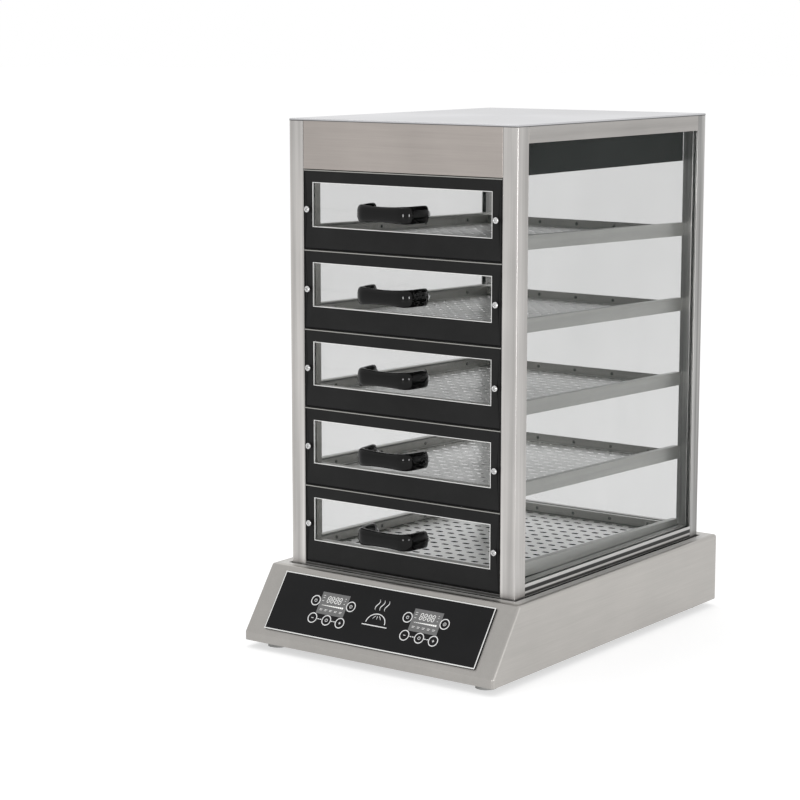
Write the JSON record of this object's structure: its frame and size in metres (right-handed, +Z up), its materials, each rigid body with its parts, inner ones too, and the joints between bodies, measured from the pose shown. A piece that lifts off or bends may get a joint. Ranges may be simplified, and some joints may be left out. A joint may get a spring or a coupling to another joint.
{
  "type": "bun steamer",
  "caption": "Counter-top glass steamer cabinet with sloping perforated drawers on runners over a heated water base with a slanted control panel.",
  "frame": {"origin": "on the surface the feet stand on, below the middle of the object's bounding box", "axes": "+Z up, -Y towards the user who faces the drawers, +X to that user's right"},
  "size_m": [0.401, 0.606, 0.7015],
  "materials": {
    "brushed_steel": "brushed stainless sheet",
    "plate_steel": "plain galvanised sheet",
    "foot_rubber": "black rubber",
    "control_black": "black printed glass, opaque",
    "board_green": "lacquered board",
    "display_dark": "display housing",
    "tank_steel": "stainless sheet",
    "heater_steel": "dull stainless tube",
    "valve_brass": "plain brass",
    "lever_black": "black dipped lever",
    "gland_black": "black nylon",
    "block_white": "white moulding",
    "frame_steel": "brushed stainless section",
    "fascia_steel": "brushed stainless sheet",
    "roof_steel": "brushed stainless sheet",
    "ceiling_black": "black painted sheet",
    "clear_glass": "clear glass",
    "runner_steel": "stainless channel",
    "tray_steel": "stainless sheet",
    "panel_black": "satin black",
    "clear_pane": "clear pane",
    "handle_black": "glossy black moulding",
    "screw_chrome": "bright steel"
  },
  "bodies": {
    "cabinet": {"base_housing": "brushed_steel", "base_deck": "brushed_steel", "base_plate": "plate_steel", "feet": "foot_rubber", "control_glass": "control_black", "control_board": "board_green", "display_modules": "display_dark", "water_tank": "tank_steel", "heating_elements": "heater_steel", "temperature_probe": "tank_steel", "drain_valve": "valve_brass", "cable_gland": "gland_black", "terminal_block": "block_white", "front_posts": "frame_steel", "back_posts": "frame_steel", "top_rails": "frame_steel", "bottom_rails": "frame_steel", "front_fascia": "fascia_steel", "roof_panel": "roof_steel", "ceiling_pan": "ceiling_black", "left_glass": "clear_glass", "right_glass": "clear_glass", "back_glass": "clear_glass", "runners_1": "runner_steel", "runners_2": "runner_steel", "runners_3": "runner_steel", "runners_4": "runner_steel", "runners_5": "runner_steel"},
    "drawer_1": {"tray_1": "tray_steel", "tray_floor_1": "tray_steel", "front_panel_1": "panel_black", "window_1": "clear_pane", "handle_1": "handle_black", "fixings_1": "screw_chrome"},
    "drawer_2": {"tray_2": "tray_steel", "tray_floor_2": "tray_steel", "front_panel_2": "panel_black", "window_2": "clear_pane", "handle_2": "handle_black", "fixings_2": "screw_chrome"},
    "drawer_3": {"tray_3": "tray_steel", "tray_floor_3": "tray_steel", "front_panel_3": "panel_black", "window_3": "clear_pane", "handle_3": "handle_black", "fixings_3": "screw_chrome"},
    "drawer_4": {"tray_4": "tray_steel", "tray_floor_4": "tray_steel", "front_panel_4": "panel_black", "window_4": "clear_pane", "handle_4": "handle_black", "fixings_4": "screw_chrome"},
    "drawer_5": {"tray_5": "tray_steel", "tray_floor_5": "tray_steel", "front_panel_5": "panel_black", "window_5": "clear_pane", "handle_5": "handle_black", "fixings_5": "screw_chrome"},
    "drain_lever": {"drain_lever": "lever_black"}
  },
  "joints": [
    {"name": "drawer_1_slide", "type": "slide", "parent": "cabinet", "child": "drawer_1", "axis": [0, -0.9996, 0.0279], "range_m": [0, 0.3]},
    {"name": "drawer_2_slide", "type": "slide", "parent": "cabinet", "child": "drawer_2", "axis": [0, -0.9996, 0.0279], "range_m": [0, 0.3]},
    {"name": "drawer_3_slide", "type": "slide", "parent": "cabinet", "child": "drawer_3", "axis": [0, -0.9996, 0.0279], "range_m": [0, 0.3]},
    {"name": "drawer_4_slide", "type": "slide", "parent": "cabinet", "child": "drawer_4", "axis": [0, -0.9996, 0.0279], "range_m": [0, 0.3]},
    {"name": "drawer_5_slide", "type": "slide", "parent": "cabinet", "child": "drawer_5", "axis": [0, -0.9996, 0.0279], "range_m": [0, 0.3]},
    {"name": "drain_lever_turn", "type": "hinge", "parent": "cabinet", "child": "drain_lever", "pos_m": [-0.098, 0.2782, 0.0675], "axis": [0, 0, 1], "range_deg": [0, 90]}
  ]
}
